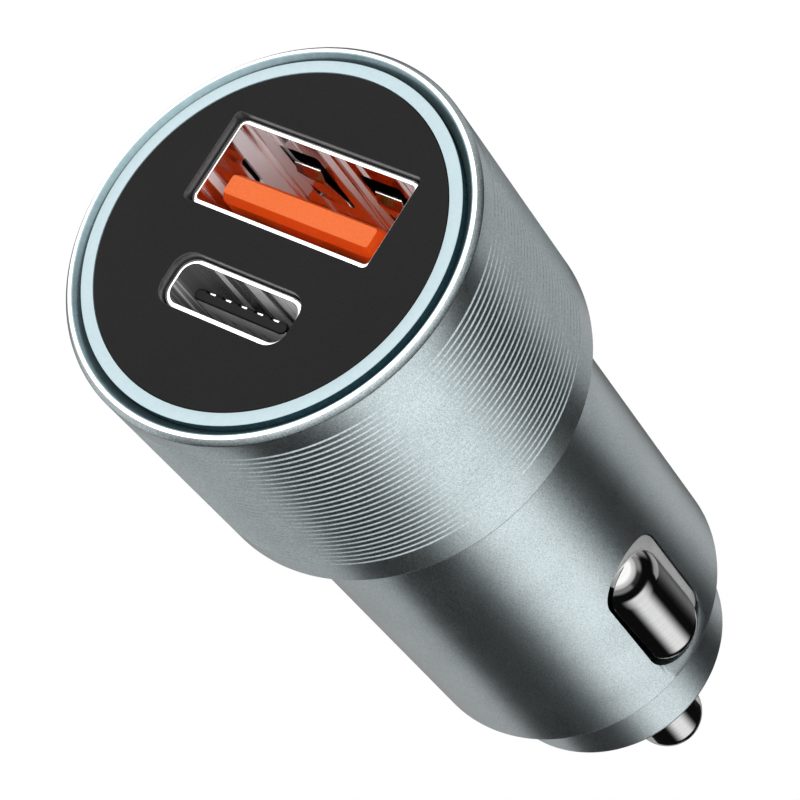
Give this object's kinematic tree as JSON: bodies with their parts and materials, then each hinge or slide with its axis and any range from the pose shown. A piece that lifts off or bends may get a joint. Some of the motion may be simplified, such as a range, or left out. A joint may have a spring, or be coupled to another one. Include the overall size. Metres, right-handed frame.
{
  "type": "vehicle socket charger plug",
  "caption": "Vehicle socket charger plug: a grooved metal head with a wide and a narrow charging socket, a barrel with sprung side contacts and a sprung tip.",
  "frame": {"origin": "on the plug's axis, in the plane of the shoulder under the grooved head", "axes": "+Z along the axis out of the vehicle socket, towards the face; X along the long side of both charging sockets; +Y from the narrow socket to the wide one"},
  "size_m": [0.0248, 0.0248, 0.0696],
  "materials": {
    "turned_metal": "fine blasted satin",
    "face_plastic": "matte",
    "clear_plastic": "smooth, pale and translucent",
    "shell_metal": "bright nickel plate",
    "orange_plastic": "moulded satin",
    "black_plastic": "moulded satin",
    "cone_plastic": "moulded satin",
    "pad_metal": "thin gold plate",
    "board": "satin lacquer",
    "can_metal": "satin",
    "ferrite": "matte",
    "copper_wire": "enamelled",
    "chip_plastic": "matte",
    "chip_ceramic": "matte",
    "lamp_plastic": "smooth",
    "plated_metal": "polished plate",
    "spring_steel": "bright drawn wire"
  },
  "bodies": {
    "body": {"housing": "turned_metal", "nose_cap": "turned_metal", "face_plate": "face_plastic", "light_ring": "clear_plastic", "wide_shell": "shell_metal", "wide_tongue": "orange_plastic", "wide_contacts": "pad_metal", "narrow_shell": "shell_metal", "narrow_tongue": "black_plastic", "narrow_contacts": "pad_metal", "carrier": "black_plastic", "socket_board": "board", "main_board": "board", "header_pins": "pad_metal", "capacitor_in": "can_metal", "capacitor_out": "can_metal", "inductor_core": "ferrite", "inductor_winding": "copper_wire", "power_chip": "chip_plastic", "control_chip": "chip_plastic", "fuse": "chip_ceramic", "chip_capacitors": "chip_ceramic", "indicator_lights": "lamp_plastic", "side_spring_right": "spring_steel", "side_spring_left": "spring_steel", "ground_pin_right": "pad_metal", "ground_pin_left": "pad_metal", "tip_insulator": "cone_plastic", "tip_terminal": "pad_metal", "tip_spring": "spring_steel"},
    "tip": {"tip_contact": "plated_metal"},
    "right_contact": {"side_contact_right": "plated_metal"},
    "left_contact": {"side_contact_left": "plated_metal"}
  },
  "joints": [
    {"name": "tip_press", "type": "slide", "parent": "body", "child": "tip", "axis": [0, 0, 1], "range_m": [0, 0.003], "stiffness_N_per_m": 1000, "springref_m": -0.003, "deforming": ["tip_spring"]},
    {"name": "right_contact_press", "type": "slide", "parent": "body", "child": "right_contact", "axis": [-1, 0, 0], "range_m": [0, 0.0013], "stiffness_N_per_m": 1500, "springref_m": -0.001, "deforming": ["side_spring_right"]},
    {"name": "left_contact_press", "type": "slide", "parent": "body", "child": "left_contact", "axis": [1, 0, 0], "range_m": [0, 0.0013], "stiffness_N_per_m": 1500, "springref_m": -0.001, "deforming": ["side_spring_left"]}
  ]
}
